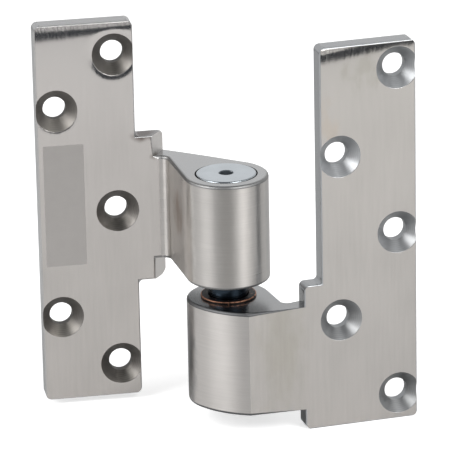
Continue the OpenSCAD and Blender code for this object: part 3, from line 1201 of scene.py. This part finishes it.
@dataclass
class Studio:
    """Plain floor, soft lamps, world and camera.

    Args:
        floor: Level of the floor.
        fill: Strength of the even light from all round.
        dim_parts: Parts of the surround that are dim in reflections: how much of the light
            each takes away, its limits about Z from -Y towards +X with the softness of its
            sides in radians, and its limits in height with their softness.
    """

    floor: float
    fill: float = 0.45
    dim_parts: tuple = (
        (0.93, (-1.3, 0.85, 0.08), (-1.5, -0.04, 0.03)),
        (0.75, (-0.80, 0.13, 0.05), (-0.04, 0.8, 0.06)),
        (0.50, (0.98, 1.9, 0.06), (0.0, 0.8, 0.08)),
        (0.78, None, (0.78, 2.0, 0.10)),
    )

    def lay_floor(self) -> None:
        """Lays a pale floor that keeps the object's shadow."""
        bpy.ops.object.select_all(action="DESELECT")
        bpy.ops.mesh.primitive_plane_add(size=2.4, location=(0.0, 0.76, self.floor))
        plane = bpy.context.active_object
        plane.name = "floor"
        sheet = Sheet("pale_floor")
        seen = sheet.node("ShaderNodeLightPath").outputs["Is Camera Ray"]
        plane.data.materials.append(sheet.made({
            "Base Color": (0.86, 0.86, 0.86, 1.0),
            "Roughness": 0.9,
            "Specular IOR Level": 0.0,
            "Emission Color": (*WHITE, 1.0),
            "Emission Strength": sheet.product(seen, 0.62),
        }))

    def hang_lamp(self, name: str, around: float, up: float, away: float, size: tuple[float, float],
                  power: float) -> None:
        """Hangs a softbox that looks at the object.

        Args:
            name: Name of the lamp.
            around: Angle about Z from -Y towards +X, in degrees.
            up: Angle above the floor, in degrees.
            away: Distance in metres.
            size: Width and height in metres.
            power: Power in watts.
        """
        data = bpy.data.lights.new(name, "AREA")
        data.shape = "RECTANGLE"
        data.size, data.size_y = size
        data.energy = power
        lamp = bpy.data.objects.new(name, data)
        bpy.context.scene.collection.objects.link(lamp)
        turn, rise = math.radians(around), math.radians(up)
        level = math.cos(rise)
        spot = Vector((math.sin(turn) * level, -math.cos(turn) * level, math.sin(rise))) * away
        lamp.location = spot
        lamp.rotation_euler = spot.to_track_quat("Z", "Y").to_euler()

    def fill_world(self) -> None:
        """Sets a plain studio surround: white, with a dim room in front."""
        world = bpy.data.worlds.new("studio")
        bpy.context.scene.world = world
        world.use_nodes = True
        sky = Wiring(world.node_tree)
        rays = sky.node("ShaderNodeLightPath").outputs
        coords = sky.node("ShaderNodeTexCoord").outputs["Generated"]
        way = sky.node("ShaderNodeSeparateXYZ", {0: coords}).outputs
        around = sky.sums("ARCTAN2", way["X"], sky.product(way["Y"], -1.0))
        left = 1.0
        for share, sides, heights in self.dim_parts:
            mask = sky.between(way["Z"], *heights)
            if sides:
                mask = sky.product(mask, sky.between(around, *sides))
            left = sky.product(left, sky.sums("SUBTRACT", 1.0, sky.product(mask, share)))
        left = sky.sums("MAXIMUM", left, rays["Is Camera Ray"])
        tones = ((0.0, BLACK), (0.1, (0.09, 0.1, 0.115)), (1.0, WHITE))
        light = sky.node("ShaderNodeBackground", {"Strength": self.fill})
        seen = sky.node("ShaderNodeBackground", {"Color": sky.tint(left, tones)})
        shown = sky.sums("MAXIMUM", rays["Is Camera Ray"], rays["Is Glossy Ray"])
        shown = sky.sums("MAXIMUM", shown, rays["Is Transmission Ray"])
        mix = sky.node("ShaderNodeMixShader", {0: shown, 1: light.outputs[0], 2: seen.outputs[0]})
        sky.node("ShaderNodeOutputWorld", {0: mix.outputs[0]})

    def set_camera(self) -> None:
        """Sets the camera at its fitted place, with a long lens and a slight roll."""
        lens, away, rise, roll, yaw = 341.334, 1.3592, 19.33, 1.170, 9.9194
        shift_scale = 4266.7
        off_x, off_y = 2.1656 / shift_scale, 0.29 / shift_scale
        up_angle, roll_angle = math.radians(rise), math.radians(roll)
        forward = Vector((0.0, math.cos(up_angle), -math.sin(up_angle)))
        upward = Vector((0.0, math.sin(up_angle), math.cos(up_angle)))
        across = Vector((1.0, 0.0, 0.0))
        right = math.cos(roll_angle) * across - math.sin(roll_angle) * upward
        over = math.sin(roll_angle) * across + math.cos(roll_angle) * upward
        spot = -off_x * away * right + off_y * away * over - away * forward
        turn = Matrix.Rotation(math.radians(-yaw), 3, "Z")
        data = bpy.data.cameras.new("studio_camera")
        data.lens = lens
        data.sensor_width = 36.0
        data.clip_start, data.clip_end = 0.05, 20.0
        camera = bpy.data.objects.new("studio_camera", data)
        bpy.context.scene.collection.objects.link(camera)
        basis = Matrix((right, over, -forward)).transposed()
        camera.matrix_world = (turn @ basis).to_4x4()
        camera.location = turn @ spot
        bpy.context.scene.camera = camera

    def build(self) -> None:
        """Sets the whole studio up."""
        self.lay_floor()
        self.hang_lamp("left_softbox", -72.0, 36.0, 1.2, (0.6, 0.7), 8.0)
        self.hang_lamp("right_softbox", 33.0, 40.0, 1.2, (0.5, 0.6), 7.6)
        self.fill_world()
        self.set_camera()
        bpy.context.scene.view_settings.view_transform = "Standard"


def mount(name: str) -> dict:
    """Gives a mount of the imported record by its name."""
    return next(m for m in frame["record"]["mounts"] if m["name"] == name)


def screw_rows(turn: float, names: Sequence[str]) -> list[tuple[float, float]]:
    """Gives the places of a leaf's screws in its own X and Z.

    Args:
        turn: Angle of the leaf about the pin, in radians.
        names: Mounts that hold the screws.

    Returns:
        X and Z of each screw's axis.
    """
    places = []
    for name in names:
        entry = mount(name)
        centre = Matrix.Rotation(-turn, 3, "Z") @ Vector(entry["pos_m"])
        dims = entry["dims"]
        apart = dims.get("spacing_y_mm", dims.get("pcd_mm", 0.0)) * MM / 2
        places += [(centre.x, centre.z + side * apart) for side in ((-1, 1) if apart else (0,))]
    return places


def main() -> None:
    """Builds and dresses each piece in order, and then sets up the studio."""
    logging.basicConfig(level=logging.INFO, format="%(name)s: %(message)s")
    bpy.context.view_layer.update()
    door_way = mount("door_back")["axis"]
    rest = math.atan2(-door_way[0], door_way[1])
    jamb_low, jamb_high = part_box("jamb_leaf")
    door_low, door_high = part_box("door_leaf")
    _, bush_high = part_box("door_bushing")
    _, cap_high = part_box("pin_cap")
    knuckle_top = cap_high.z - CAP_PROUD
    jamb = JambLeaf(
        "jamb_leaf", "jamb", "jamb_leaf_dressed", 0.0, jamb_high.y - LEAF_THICKNESS, 20.0 * MM,
        -knuckle_top, knuckle_top,
        screw_rows(0.0, ("jamb_end_screws", "jamb_far_screws", "jamb_middle_screw")),
        jamb_high.z,
    )
    lower_top = bush_high.z - FLANGE_PROUD
    door = DoorLeaf(
        "door_leaf", "door", "door_leaf_dressed", rest, -DOOR_OFFSET, 19.5 * MM,
        lower_top - 2 * knuckle_top, lower_top,
        screw_rows(rest, ("door_end_screws", "door_near_screws", "door_middle_screw")),
        door_high.z,
    )
    for leaf in (jamb, door):
        leaf.build()
        leaf.dress()
        LOG.info("%s is built and dressed", leaf.name)
    cap = PinCap(cap_high.z)
    cap.build()
    cap.dress()
    LOG.info("the cap is built and dressed")
    film = RatingFilm()
    film.build(jamb.face)
    film.dress()
    LOG.info("the film is laid")
    pin = frame["nodes"]["pivot_pin"]
    oxide = Plated("pin_black_oxide", (0.03, 0.042, 0.056), 0.2, 0.05, grain=Grain.UPRIGHT)
    pin.data.materials[0] = oxide.material()
    bushing = Bushing(bush_high.z, bush_high.x)
    bushing.build()
    bushing.dress()
    LOG.info("the bushing is built and dressed")
    Studio(min(door_low.z, jamb_low.z) - FLOOR_GAP).build()


if __name__ == "__main__":
    main()
